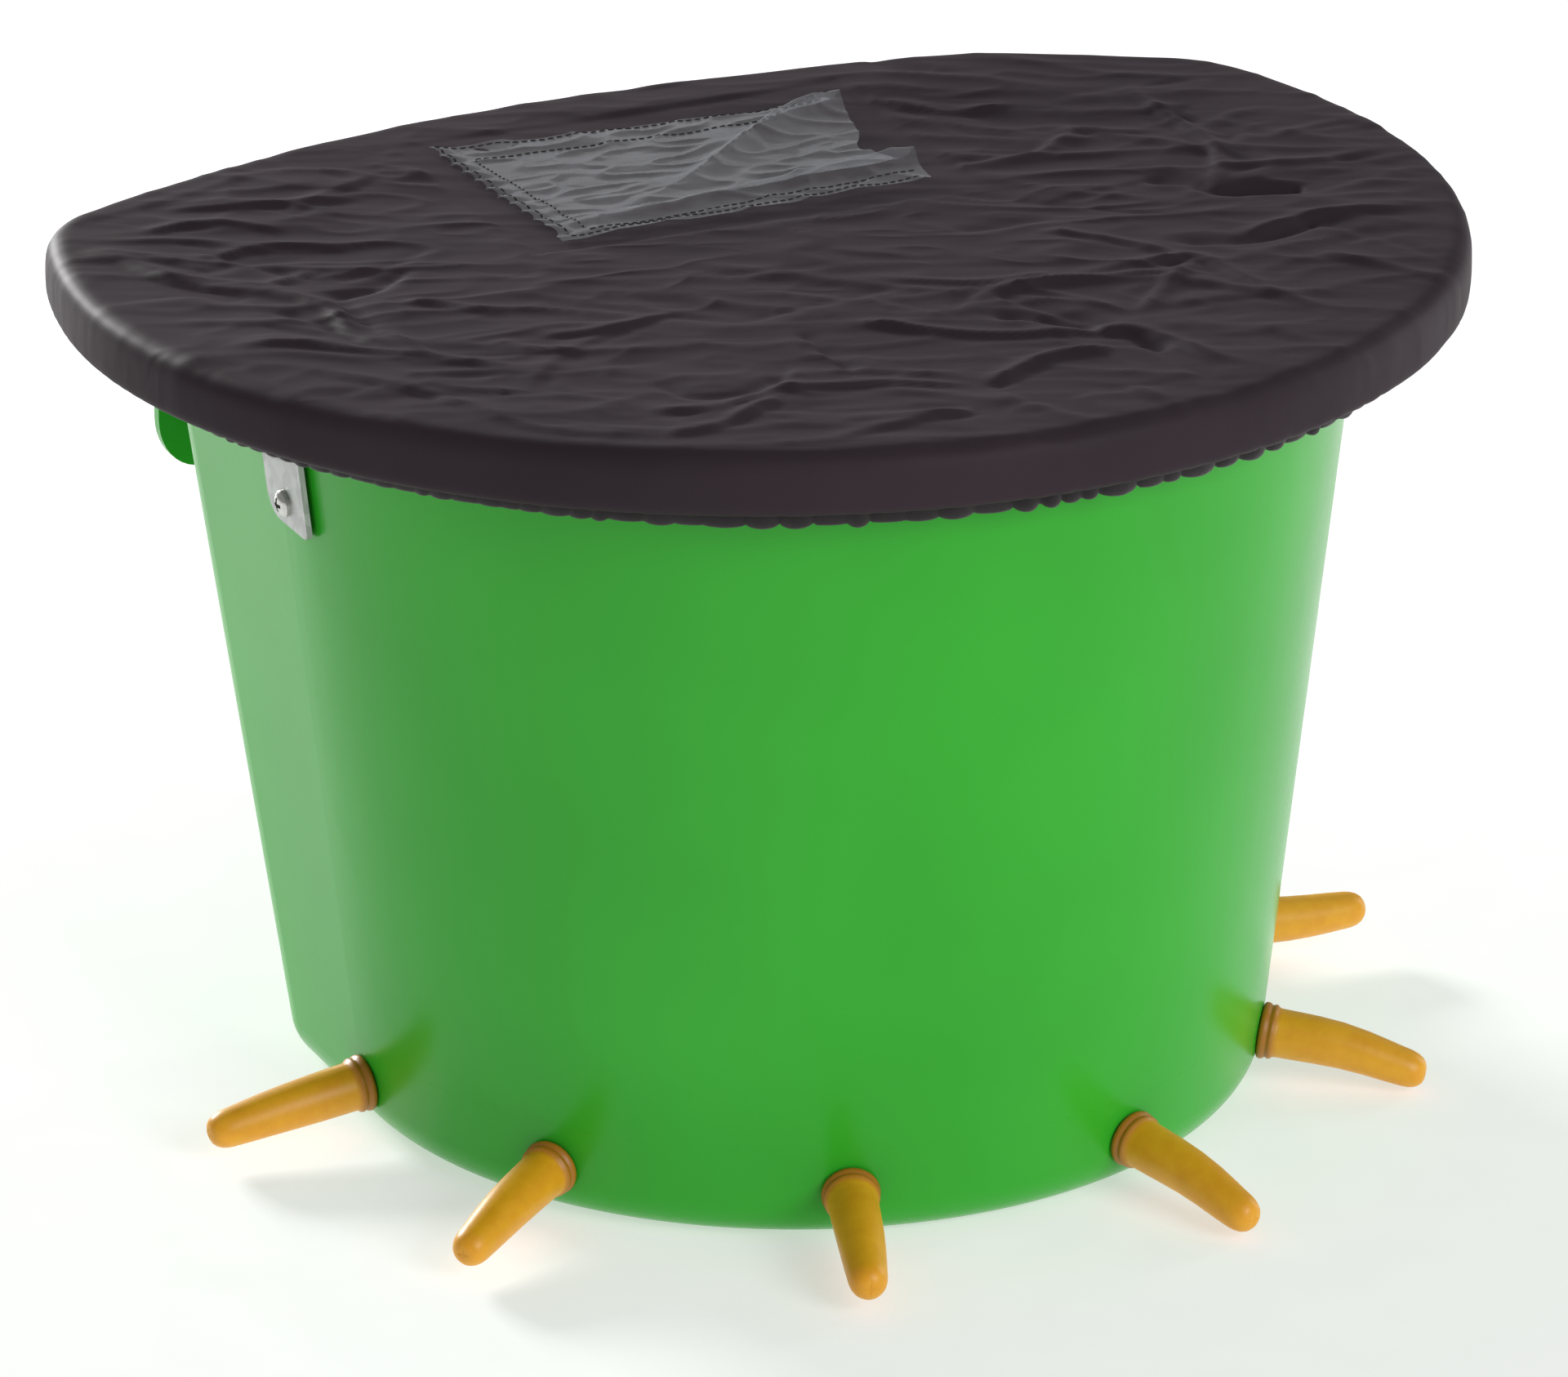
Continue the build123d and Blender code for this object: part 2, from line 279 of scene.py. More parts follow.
def latexRubber():
    # Amber natural latex: waxy depth, with a 9 mm mottle from dipping and a fine skin of 2 mm. The
    # collar next to the tub wall is painted darker as painted shade.
    material, tree, shader, coords = newMaterial(
        "naturalLatex", Roughness=0.42, Subsurface_Weight=0.25, Subsurface_Scale=0.004,
        IOR=1.5)
    shader.inputs["Subsurface Radius"].default_value = (1.0, 0.45, 0.12)
    mottle = noiseValue(tree, coords, 110.0, 4.0, 0.6)
    body = ramp(tree, mottle, [(0.3, hexColour("#df9a12")), (0.7, hexColour("#eaa91e"))])
    collarShade = addNode(tree, "ShaderNodeAttribute", {"attribute_name": "collar"}).outputs["Fac"]
    tree.links.new(
        addNode(tree, "ShaderNodeMix", {"data_type": "RGBA"}, {"B": hexColour("#9c6214")},
                {"Factor": collarShade, "A": body}).outputs["Result"],
        shader.inputs["Base Color"])
    tree.links.new(bump(tree, noiseValue(tree, coords, 420.0, 3.0), 0.0001, 0.5),
                   shader.inputs["Normal"])
    return material


def galvanisedSteel():
    # Hot-dip zinc: pale grey with a faint spangle 5 mm across and dull patches.
    material, tree, shader, coords = newMaterial(
        "galvanisedSteel", Metallic=0.55, Roughness=0.5)
    cells = addNode(tree, "ShaderNodeTexVoronoi", inputs={"Scale": 190.0},
                    links={"Vector": coords}).outputs["Color"]
    colourCloud(tree, shader, cells, "#a8aaa8", "#c2c5c2", 0.1, 0.9)
    dull = mapped(tree, noiseValue(tree, coords, 60.0, 4.0), {"To Min": 0.38, "To Max": 0.62})
    tree.links.new(dull, shader.inputs["Roughness"])
    tree.links.new(bump(tree, noiseValue(tree, coords, 900.0, 2.0), 0.00003, 0.6),
                   shader.inputs["Normal"])
    return material


def platedSteel():
    # Bright zinc-plated fasteners: hard highlights broken by fine turning marks.
    material, tree, shader, coords = newMaterial("platedSteel", Metallic=1.0, Roughness=0.22)
    tone = noiseValue(tree, coords, 300.0, 3.0)
    colourCloud(tree, shader, tone, "#b4b4ae", "#d8d8d4")
    marks = noiseValue(tree, stretched(tree, coords, (200, 200, 2600)), 1.0, 2.0)
    tree.links.new(bump(tree, marks, 0.00002, 0.5), shader.inputs["Normal"])
    return material


def polishedBall():
    # Polished stainless ball: mirror-like with a trace of haze.
    material, tree, shader, coords = newMaterial("polishedStainless", Metallic=1.0)
    haze = mapped(tree, noiseValue(tree, coords, 500.0, 3.0), {"To Min": 0.06, "To Max": 0.14})
    tree.links.new(haze, shader.inputs["Roughness"])
    shader.inputs["Base Color"].default_value = hexColour("#c8c8c8")
    return material


def valvePlastic():
    # Off-white acetal: satin, with a soft mould texture.
    material, tree, shader, coords = newMaterial("whiteAcetal", Roughness=0.38, IOR=1.48)
    tone = noiseValue(tree, coords, 150.0, 3.0)
    colourCloud(tree, shader, tone, "#dcdcd6", "#e8e8e3")
    tree.links.new(bump(tree, noiseValue(tree, coords, 1400.0, 2.0), 0.00002, 0.5),
                   shader.inputs["Normal"])
    return material


def dress(nodes, material):
    for name in nodes:
        piece = bpy.data.objects[name]
        piece.data.materials.clear()
        piece.data.materials.append(material)


sides = ("left", "right")
teatNumbers = range(1, 7)
dress(["bucket_base", "bucket_shell", "bucket_rim"], tubPlastic())
dress([f"side_bracket_{side}" for side in sides], galvanisedSteel())
dress([f"bracket_{kind}_{side}" for side in sides for kind in ("screws", "washers", "nuts")],
      platedSteel())
dress([f"valve_body_{n}" for n in teatNumbers], valvePlastic())
dress([f"valve_ball_{n}" for n in teatNumbers], polishedBall())
print("hard parts dressed")


# Teats
teatSettings = {
    "angles": (-88.5, -54.8, -18.6, 18.6, 54.8, 88.5), "height": 0.020, "pitch": 7.0,
    "seatGap": 0.00005, "steps": 56, "slitHalf": 0.0021, "slitWidth": 0.0003,
    "slitStart": 0.057, "slitDepth": 0.0004, "bendStart": 0.012, "length": 0.060,
    "unevenStart": 0.006, "uneven": 0.012, "sideLean": 0.0008,
    # How far each soft tip hangs below or above the teat's axis
    "droop": (0.0010, 0.0018, 0.0012, 0.0042, 0.0048, -0.0026),
}
wallSettings = {
    "baseHalf": 0.1645, "topHalf": 0.198, "baseFront": 0.158, "topFront": 0.1875,
}
# Radius and distance along the teat, in millimetres, from the root inside the tub to the tip
teatProfile = [
    (4.4, -9.5), (10.4, -9.5), (11.0, -8.9), (11.0, -7.1), (10.4, -6.5), (8.0, -6.5), (8.0, 0.0),
    (9.2, 0.0), (9.9, 0.45), (10.15, 1.3), (9.95, 2.3), (9.45, 2.9), (9.3, 3.2), (9.5, 3.6),
    (9.75, 4.2), (9.6, 4.9), (9.05, 5.5), (8.75, 6.1), (8.68, 7.2), (8.62, 12.0), (8.45, 20.0),
    (8.15, 29.0), (7.75, 38.0), (7.3, 46.0), (6.95, 50.5), (6.82, 52.6), (6.55, 54.6),
    (6.0, 56.5), (5.1, 58.1), (3.9, 59.2), (2.5, 59.8), (1.2, 60.0), (0.0, 60.0),
]


def teatFrame(angle):
    turn = math.radians(angle)
    pitch = math.radians(teatSettings["pitch"])
    share = teatSettings["height"] / rim["top"]
    side = blendValue(wallSettings["baseHalf"], wallSettings["topHalf"], share)
    nose = blendValue(wallSettings["baseFront"], wallSettings["topFront"], share)
    centre = side - nose
    spot = Vector((side * math.sin(turn), centre - side * math.cos(turn),
                   teatSettings["height"]))
    out = Vector((math.sin(turn) * math.cos(pitch), -math.cos(turn) * math.cos(pitch),
                  -math.sin(pitch)))
    across = Vector((0, 0, 1)).cross(out).normalized()
    up = out.cross(across)
    basis = Matrix((across, up, out)).transposed().to_4x4()
    return Matrix.Translation(spot + out * teatSettings["seatGap"]) @ basis


def makeTeat(number, angle, material):
    bm = bmesh.new()
    places = [bm.verts.new((radius / 1000, 0, along / 1000)) for radius, along in teatProfile]
    edges = [bm.edges.new(pair) for pair in zip(places, places[1:])]
    bmesh.ops.spin(bm, geom=places + edges, cent=(0, 0, 0), axis=(0, 0, 1),
                   angle=2 * math.pi, steps=teatSettings["steps"], use_merge=True)
    bmesh.ops.remove_doubles(bm, verts=bm.verts, dist=1e-6)
    bmesh.ops.recalc_face_normals(bm, faces=bm.faces)
    shade = bm.verts.layers.float.new("collar")
    rng = random.Random(number)
    sideLean = teatSettings["sideLean"]
    lean = Vector((rng.uniform(-sideLean, sideLean), -teatSettings["droop"][number - 1], 0))
    for vert in bm.verts:
        along = vert.co.z
        # Painted shade: the collar next to the tub wall is darkened in colour
        vert[shade] = 0.85 * smoothStep(0.0072, 0.0045, along)
        slit = min(abs(vert.co.x), abs(vert.co.y))
        reach = max(abs(vert.co.x), abs(vert.co.y))
        if along > teatSettings["slitStart"] and reach < teatSettings["slitHalf"]:
            dent = smoothStep(teatSettings["slitWidth"], 0, slit)
            vert.co.z -= teatSettings["slitDepth"] * dent
        vert.co += lean * smoothStep(teatSettings["bendStart"], teatSettings["length"], along) ** 2
        swell = noise.noise(Vector((vert.co.x, vert.co.y, vert.co.z + number)) * 55)
        if along > teatSettings["unevenStart"]:
            vert.co.x *= 1 + teatSettings["uneven"] * swell
            vert.co.y *= 1 + teatSettings["uneven"] * swell
    bm.transform(teatFrame(angle))
    piece = finishPiece(f"latexTeat{number}", bm, material, "bucket")
    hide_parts(f"teat_{number}")


latex = latexRubber()
for teatNumber, teatAngle in zip(teatNumbers, teatSettings["angles"]):
    makeTeat(teatNumber, teatAngle, latex)
print("teats made")


# Cover: one sheet of thin cloth stretched over the rim, its hem drawn in by elastic
coverSettings = {
    "columns": 640, "topRows": 88, "sideRows": 30, "middleY": 0.012,
    "edgeStart": -0.0065, "top": 0.3043, "sag": 0.0018, "mergeGap": 0.00002,
    "grainTurn": -25.0, "seed": 4, "looseCreases": 60, "creaseGain": 1.25,
    "creaseReach": 3.5, "swell": 0.0012, "longRidges": 0.0011, "crossRidges": 0.0006,
    "ripple": 0.0007, "gatherOut": 0.0013, "gatherDrop": 0.0012, "gatherMiddle": 0.6,
}
# Outset from the rim and height, in millimetres, down the band and under the skirt
coverSide = [
    (-6.5, 304.3), (-4.6, 304.15), (-2.8, 303.7), (-1.1, 302.9), (0.2, 301.7), (1.1, 300.1),
    (1.6, 298.2), (1.75, 295.8), (1.8, 293.2), (1.85, 290.6), (1.85, 288.2), (1.8, 286.4),
    (1.4, 284.7), (0.3, 283.5), (-1.6, 282.9), (-4.0, 282.6), (-6.6, 282.2), (-9.0, 281.2),
]
coverSideBack = [
    (-6.5, 304.3), (-4.6, 304.15), (-2.8, 303.7), (-1.1, 302.9), (0.2, 301.7), (1.1, 300.1),
    (1.6, 298.2), (1.75, 295.8), (1.8, 293.2), (1.85, 290.6), (1.85, 288.2), (1.85, 286.4),
    (1.8, 284.8), (1.75, 283.4), (1.75, 282.2), (1.75, 281.2), (1.8, 280.2), (1.9, 279.4),
]


def alongPath(path, share):
    place = share * (len(path) - 1)
    low = min(int(place), len(path) - 2)
    rest = place - low
    return [blendValue(a, b, rest) / 1000 for a, b in zip(path[low], path[low + 1])]


def makeFolds(seed):
    # Gathers of uneven width and depth all the way round, deepest along the front
    rng = random.Random(seed)
    places = []
    distance = 0.0
    while distance < rimLength - 0.006:
        spot, _ = rimSpot(distance / rimLength)
        front = smoothStep(-0.02, -0.16, spot.y) * smoothStep(-0.19, -0.09, spot.x)
        front *= smoothStep(0.17, 0.07, spot.x)
        width = rng.uniform(0.0055, 0.010) + front * rng.uniform(0.0, 0.0075)
        depth = rng.uniform(0.1, 1.0) * blendValue(0.32, 1.0, front)
        places.append((distance, width, depth))
        distance += width
    stretch = rimLength / distance
    return [(start * stretch, width * stretch, depth) for start, width, depth in places]


folds = makeFolds(coverSettings["seed"])
foldStarts = [start for start, _, _ in folds]


def foldAt(share):
    distance = (share % 1.0) * rimLength
    low, high = 0, len(folds)
    while high - low > 1:
        middle = (low + high) // 2
        if foldStarts[middle] <= distance:
            low = middle
        else:
            high = middle
    start, width, depth = folds[low]
    return max(math.sin(math.pi * min((distance - start) / width, 1.0)), 0.0) ** 0.55, depth


# Pressed-in creases: height (negative for a valley) and width in millimetres, and the
# places in plan that each runs through
creaseLines = [
    (-1.6, 3.4, [(26, -94), (42, -107), (52, -122)]),
    (1.5, 3.2, [(50, -124), (63, -130), (75, -169)]),
    (1.1, 3.0, [(-18, -79), (13, -107), (51, -124)]),
    (1.4, 3.0, [(-5, -154), (26, -139), (48, -142)]),
    (-1.3, 3.2, [(-5, -154), (7, -190), (14, -200)]),
    (1.0, 2.6, [(-77, -130), (-42, -137), (-9, -153)]),
    (1.0, 2.8, [(-75, -182), (-47, -178), (-23, -177)]),
    (-0.9, 2.8, [(-85, -148), (-49, -164), (-21, -177), (-19, -191)]),
    (-1.3, 3.6, [(58, -133), (62, -159), (60, -196)]),
    (1.0, 2.8, [(33, -174), (41, -203), (52, -212)]),
    (1.2, 3.0, [(93, -68), (116, -67), (120, -96), (122, -114)]),
    (1.0, 2.6, [(116, -67), (93, -89), (72, -111)]),
    (1.7, 3.4, [(143, -53), (175, -49), (215, -56)]),
    (-1.2, 3.4, [(119, -48), (144, -60), (179, -55)]),
    (1.2, 3.0, [(154, -85), (171, -109), (182, -131)]),
    (1.6, 3.0, [(178, 103), (179, 63), (176, 31), (156, -4)]),
    (-2.0, 5.0, [(183, 65), (205, 76), (232, 68)]),
    (0.9, 3.0, [(142, 77), (117, 58), (75, 57)]),
    (0.9, 2.6, [(135, 79), (166, 62)]),
    (-1.2, 3.4, [(140, 17), (150, 5), (162, -17)]),
    (-1.8, 4.4, [(156, -6), (188, -19), (227, -10)]),
    (1.3, 3.4, [(169, 15), (199, 6), (232, 6)]),
    (0.9, 2.6, [(82, -19), (101, -40), (116, -67)]),
    (0.9, 2.6, [(39, -70), (72, -72), (106, -78)]),
    (1.0, 3.0, [(101, -87), (116, -108), (131, -133)]),
    (-0.9, 2.8, [(-40, -82), (-40, -102), (-41, -129)]),
    (0.8, 2.6, [(9, -43), (38, -61), (69, -61)]),
    (0.9, 2.6, [(202, 36), (232, 42), (240, 28)]),
    (-1.0, 3.0, [(167, -78), (193, -76), (209, -88)]),
    (1.9, 4.2, [(-229, 96), (-220, 80), (-206, 44), (-187, 32)]),
    (-2.2, 5.0, [(-241, 44), (-223, 43), (-208, 38), (-197, 24)]),
    (1.0, 3.0, [(-223, 92), (-210, 81), (-197, 60)]),
    (1.3, 3.2, [(-188, 32), (-174, 8), (-176, -22), (-166, -44)]),
    (-1.3, 3.6, [(-168, 18), (-149, 23), (-132, 38)]),
    (-1.4, 3.4, [(-166, 19), (-168, -7), (-167, -25)]),
    (1.3, 3.0, [(-170, -13), (-166, -30), (-162, -53)]),
    (1.1, 3.0, [(-218, -19), (-199, -25), (-182, -39), (-159, -56), (-142, -72)]),
    (-1.0, 3.4, [(-191, 9), (-181, -10), (-177, -39)]),
    (1.1, 2.8, [(-205, -48), (-176, -89), (-157, -133), (-124, -156)]),
    (1.0, 2.8, [(-123, -157), (-100, -154), (-68, -134)]),
    (0.9, 2.8, [(-119, -132), (-96, -140), (-76, -130)]),
    (-0.9, 3.0, [(-105, -105), (-96, -126), (-72, -127), (-58, -111)]),
    (0.8, 2.6, [(-120, -47), (-94, -50), (-67, -44)]),
    (0.8, 2.6, [(-146, 5), (-134, -6), (-122, -19)]),
    (0.8, 2.6, [(-181, 38), (-172, 42), (-162, 47)]),
    (0.7, 2.6, [(-137, -46), (-127, -57), (-115, -68)]),
    (-1.6, 4.5, [(-229, -20), (-222, -57), (-213, -77), (-191, -103)]),
    (0.9, 2.8, [(-204, 105), (-176, 106), (-155, 91)]),
    (0.9, 2.8, [(-186, 126), (-150, 118), (-118, 114)]),
    (0.8, 2.8, [(-196, 72), (-166, 77), (-141, 66)]),
    (-0.9, 3.0, [(-151, 154), (-121, 150), (-94, 127)]),
    (0.8, 2.6, [(4, 207), (20, 184), (42, 184)]),
    (0.8, 2.6, [(92, 129), (109, 110), (134, 109)]),
    (-0.9, 3.4, [(109, 180), (109, 158), (131, 142)]),
]


def looseCreases(seed):
    # Faint creases between the strong ones, mostly along the cloth's grain
    rng = random.Random(seed)
    found = []
    for _ in range(coverSettings["looseCreases"]):
        x, y = rng.uniform(-215, 215), rng.uniform(-185, 165)
        turn = math.radians(coverSettings["grainTurn"] + rng.gauss(0, 30))
        half = rng.uniform(12, 50)
        bend = rng.uniform(-5, 5)
        ux, uy = math.cos(turn), math.sin(turn)
        found.append((rng.choice((-1, 1)) * rng.uniform(0.25, 0.7), rng.uniform(2.2, 3.6),
                      [(x - ux * half, y - uy * half), (x - uy * bend, y + ux * bend),
                       (x + ux * half, y + uy * half)]))
    return found


def preparedCrease(tall, width, points):
    # Draws a smooth curve through the points, with its box for a quick test
    shortRuns = 7
    smooth = []
    for i in range(len(points) - 1):
        before, start = points[max(i - 1, 0)], points[i]
        end, after = points[i + 1], points[min(i + 2, len(points) - 1)]
        for step in range(shortRuns):
            t = step / shortRuns
            smooth.append([0.5 * (2 * b + (c - a) * t + (2 * a - 5 * b + 4 * c - d) * t * t
                                  + (3 * b - a - 3 * c + d) * t ** 3) / 1000
                           for a, b, c, d in zip(before, start, end, after)])
    smooth.append([value / 1000 for value in points[-1]])
    width /= 1000
    reach = coverSettings["creaseReach"] * width
    xs = [x for x, _ in smooth]
    ys = [y for _, y in smooth]
    box = (min(xs) - reach, max(xs) + reach, min(ys) - reach, max(ys) + reach)
    return tall / 1000, width, smooth, box


creaseList = [preparedCrease(*crease)
              for crease in creaseLines + looseCreases(coverSettings["seed"])]


def creaseHeight(x, y):
    height = 0.0
    for tall, width, smooth, (left, right, low, high) in creaseList:
        if x < left or x > right or y < low or y > high:
            continue
        best = None
        runs = len(smooth) - 1
        for i in range(runs):
            (ax, ay), (bx, by) = smooth[i], smooth[i + 1]
            rx, ry = bx - ax, by - ay
            long = rx * rx + ry * ry or 1e-12
            t = ((x - ax) * rx + (y - ay) * ry) / long
            t = min(max(t, 0.0), 1.0)
            dx, dy = x - ax - t * rx, y - ay - t * ry
            gap = dx * dx + dy * dy
            if best is None or gap < best[0]:
                best = (gap, (i + t) / runs, rx * dy - ry * dx)
        offset = math.sqrt(best[0]) / width
        if offset > coverSettings["creaseReach"]:
            continue
        taper = min(1.0, 5 * best[1] + 0.15) * min(1.0, 3.5 * (1 - best[1]) + 0.1)
        side = 1 if best[2] > 0 else -1
        body = math.exp(-offset ** 1.5)
        lean = 0.55 * side * offset * math.exp(-(offset / 1.5) ** 2)
        height += tall * taper * (body + lean)
    return height


grainAngle = math.radians(coverSettings["grainTurn"])
grainAlong = Vector((math.cos(grainAngle), math.sin(grainAngle)))


def wrinkle(x, y):
    # Height of the creased cloth over its smooth surface
    along = x * grainAlong.x + y * grainAlong.y
    across = -x * grainAlong.y + y * grainAlong.x
    warp = noise.noise(Vector((x * 9, y * 9, 2.0))) * 0.016
    swell = noise.noise(Vector((along * 9, across * 13, 5.0))) * coverSettings["swell"]
    first = noise.noise(Vector((along * 11, (across + warp) * 46, 9.0)))
    second = noise.noise(Vector(((along + warp) * 30, across * 60, 14.0)))
    rough = (coverSettings["longRidges"] * (1 - abs(first)) ** 5
             + coverSettings["crossRidges"] * (1 - abs(second)) ** 5)
    return swell + rough + coverSettings["creaseGain"] * creaseHeight(x, y)


def clothTop(x, y, toEdge=0.0):
    # toEdge is 0 in the middle and 1 at the rounded edge
    centre = 1 - smoothStep(0.55, 0.95, toEdge)
    # The cloth stands up a little by the right rear corner and lies flatter under the pocket
    lift = 0.0028 * math.exp(-(((x - 0.13) / 0.07) ** 2 + ((y - 0.155) / 0.035) ** 2))
    press = 1 - 0.75 * smoothStep(0.004, 0.0, max(abs(x) - 0.085, abs(y - 0.094) - 0.062))
    crease = wrinkle(x, y) * press
    if toEdge > 0.8:
        crease = max(crease, 0) * (1 - 0.5 * smoothStep(0.8, 1.0, toEdge))
    return coverSettings["top"] - coverSettings["sag"] * centre + lift + crease


def overLip(spot):
    # 1 above the hanging lip, where the cover hangs straight, and 0 where it is drawn in
    side = smoothStep(rim["lipHalfWidth"] + 0.016, rim["lipHalfWidth"] - 0.004, abs(spot.x))
    return side if spot.y > 0.09 else 0.0


def makeCover(material):
    rows = coverSettings["topRows"] + coverSettings["sideRows"]
    topShare = coverSettings["topRows"] / rows
    bm = grid(coverSettings["columns"], rows)
    middle = Vector((0, coverSettings["middleY"]))
    for vert in bm.verts:
        share = (1 - vert.co.x) / 2
        down = (vert.co.y + 1) / 2
        if down <= topShare + 1e-6:
            inward = (down / topShare) ** 0.85
            spot, _ = rimSpot(share, coverSettings["edgeStart"])
            spot = middle + (spot - middle) * inward
            vert.co = Vector((spot.x, spot.y, clothTop(spot.x, spot.y, inward)))
            continue
        step = (down - topShare) / (1 - topShare)
        base, out = rimSpot(share)
        back = overLip(base)
        tucked = alongPath(coverSide, step)
        hanging = alongPath(coverSideBack, step)
        outset = blendValue(tucked[0], hanging[0], back)
        height = blendValue(tucked[1], hanging[1], back)
        edge, _ = rimSpot(share, coverSettings["edgeStart"])
        rest = clothTop(edge.x, edge.y, 1.0) - coverSettings["top"]
        height += rest * (1 - smoothStep(0.0, 0.45, step))
        outset += 0.4 * rest * smoothStep(0.1, 0.3, step) * (1 - smoothStep(0.4, 0.8, step))
        wave = noise.noise(Vector((base.x * 22, base.y * 22, height * 18)))
        wave *= coverSettings["ripple"]
        outset += abs(wave) * smoothStep(0.15, 0.5, step)
        bulge, depth = foldAt(share)
        bulge -= coverSettings["gatherMiddle"]
        pull = smoothStep(0.5, 1.0, step)
        outset += bulge * coverSettings["gatherOut"] * depth * pull
        height -= bulge * coverSettings["gatherDrop"] * depth * pull ** 2
        vert.co = Vector((base.x + out.x * outset, base.y + out.y * outset, height))
    bmesh.ops.remove_doubles(bm, verts=bm.verts, dist=coverSettings["mergeGap"])
    piece = finishPiece("clothCover", bm, material, "cover")
    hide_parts("cover_cloth")
    return piece


hemSettings = {
    "columns": 1500, "rows": 14, "halfHeight": 0.0041, "halfThick": 0.0012,
    "tucked": -0.0098, "hanging": 0.0031, "tuckedZ": 0.2800, "hangingZ": 0.2772,
    "gatherOut": 0.0030, "gatherDrop": 0.0022, "leftRise": 0.0012, "slowRise": 0.0008,
    "slowOut": 0.0012,
}


def makeHem(material):
    bm = grid(hemSettings["columns"], hemSettings["rows"])
    for vert in bm.verts:
        share = (1 - vert.co.x) / 2
        turn = math.pi * (vert.co.y + 1)
        base, out = rimSpot(share)
        back = overLip(base)
        left = smoothStep(-0.12, -0.2, base.x) * (1 - back)
        bulge, depth = foldAt(share)
        wild = noise.noise(Vector((base.x * 70, base.y * 70, 3.0)))
        slow = noise.noise(Vector((base.x * 18, base.y * 18, 7.0)))
        middle = blendValue(hemSettings["tucked"], hemSettings["hanging"], back)
        height = blendValue(hemSettings["tuckedZ"], hemSettings["hangingZ"], back)
        height += hemSettings["leftRise"] * left + hemSettings["slowRise"] * slow * (1 - back)
        gather = (bulge - coverSettings["gatherMiddle"]) * hemSettings["gatherOut"] * depth
        middle += (gather + hemSettings["slowOut"] * slow) * (1 - 0.7 * back)
        drop = (bulge - 0.55) * hemSettings["gatherDrop"] * depth * (1 - 0.5 * back)
        tall = hemSettings["halfHeight"] * (0.9 + 0.1 * wild)
        thick = hemSettings["halfThick"] * (0.8 + 0.8 * bulge * depth)
        outset = middle + thick * math.cos(turn)
        low = smoothStep(0.4, -1.0, math.sin(turn))
        vert.co = Vector((base.x + out.x * outset, base.y + out.y * outset,
                          height + tall * math.sin(turn) - drop * low))
    bmesh.ops.remove_doubles(bm, verts=bm.verts, dist=coverSettings["mergeGap"])
    bmesh.ops.recalc_face_normals(bm, faces=bm.faces)
    piece = finishPiece("gatheredHem", bm, material, "cover")
    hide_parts("cover_elastic")
    return piece


def wovenCloth():
    # Thin dark polyamide, almost without shine: brown-black with a purple cast, long fine
    # lines along the grain and small crumples between the modelled creases. The weave's
    # threads are 0.5 mm apart, coarser than real ones so that they show.
    material, tree, shader, coords = newMaterial(
        "wovenPolyamide", Roughness=0.55, Sheen_Weight=0.04, Sheen_Roughness=0.4,
        Specular_IOR_Level=0.1)
    shader.inputs["Sheen Tint"].default_value = hexColour("#b8a4ae")
    patches = noiseValue(tree, coords, 7.0, 3.0)
    colourCloud(tree, shader, patches, "#2b2328", "#352b31")
    turned = stretched(tree, coords, (1, 1, 1), -grainAngle)
    longLines = noiseValue(tree, stretched(tree, turned, (12, 60, 12)), 1.0, 4.0, 0.6, 0.6,
                           "RIDGED_MULTIFRACTAL")
    crumple = noiseValue(tree, stretched(tree, turned, (45, 80, 45)), 1.0, 4.0, 0.55, 0.8,
                         "RIDGED_MULTIFRACTAL")
    weave = addNode(tree, "ShaderNodeTexWave", {"bands_direction": "X"},
                    {"Scale": 620.0, "Distortion": 0.0}, {"Vector": coords}).outputs["Fac"]
    weft = addNode(tree, "ShaderNodeTexWave", {"bands_direction": "Y"},
                   {"Scale": 620.0, "Distortion": 0.0}, {"Vector": coords}).outputs["Fac"]
    threads = addNode(tree, "ShaderNodeMath", {"operation": "MULTIPLY"},
                      links={0: weave, 1: weft}).outputs["Value"]
    normal = bump(tree, longLines, 0.0010, 0.6)
    normal = bump(tree, crumple, 0.0004, 0.45, normal)
    normal = bump(tree, threads, 0.00004, 0.35, normal)
    tree.links.new(normal, shader.inputs["Normal"])
    return material


def shadedHemCloth():
    # The same cloth bunched over elastic, with pleats 4 mm wide in the gathers; its colour is
    # painted darker as painted shade of the gathers under the band.
    material, tree, shader, coords = newMaterial(
        "shadedGatheredPolyamide", Roughness=0.62, Sheen_Weight=0.15, Sheen_Roughness=0.5,
        Specular_IOR_Level=0.3)
    patches = noiseValue(tree, coords, 60.0, 3.0)
    # Painted shade: these tones are darker than the same cloth on the top
    colourCloud(tree, shader, patches, "#171214", "#231d1f")
    pleats = noiseValue(tree, stretched(tree, coords, (260, 260, 90)), 1.0, 3.0, 0.6)
    tree.links.new(bump(tree, pleats, 0.0007, 0.6), shader.inputs["Normal"])
    return material


cloth = wovenCloth()
cover = makeCover(cloth)
hem = makeHem(shadedHemCloth())
print("cover made", len(cover.data.polygons), len(hem.data.polygons))


# Document pocket: clear film, stitched on three sides, open and curling at its right end
pocketSettings = {
    "columns": 200, "rows": 130, "lift": 0.0011,
    "farLeft": (-0.0765, 0.1495), "farRight": (0.0735, 0.1375),
    "nearRight": (0.072, 0.0470), "nearLeft": (-0.074, 0.0375),
    "stitch": 0.0030, "stitchGap": 0.0007, "stitchLeast": 0.0008, "stitchRise": 0.0002,
    "thread": 0.00034, "ruffle": 0.0016, "ruffleRise": 0.0011, "ruffleTurns": 71,
    "curlStart": 0.0012, "curl": 0.0085, "lowerCurlStart": 0.0016, "lowerCurl": 0.0075,
    "drawBack": 0.010, "small": 0.0009, "fine": 0.0012,
}
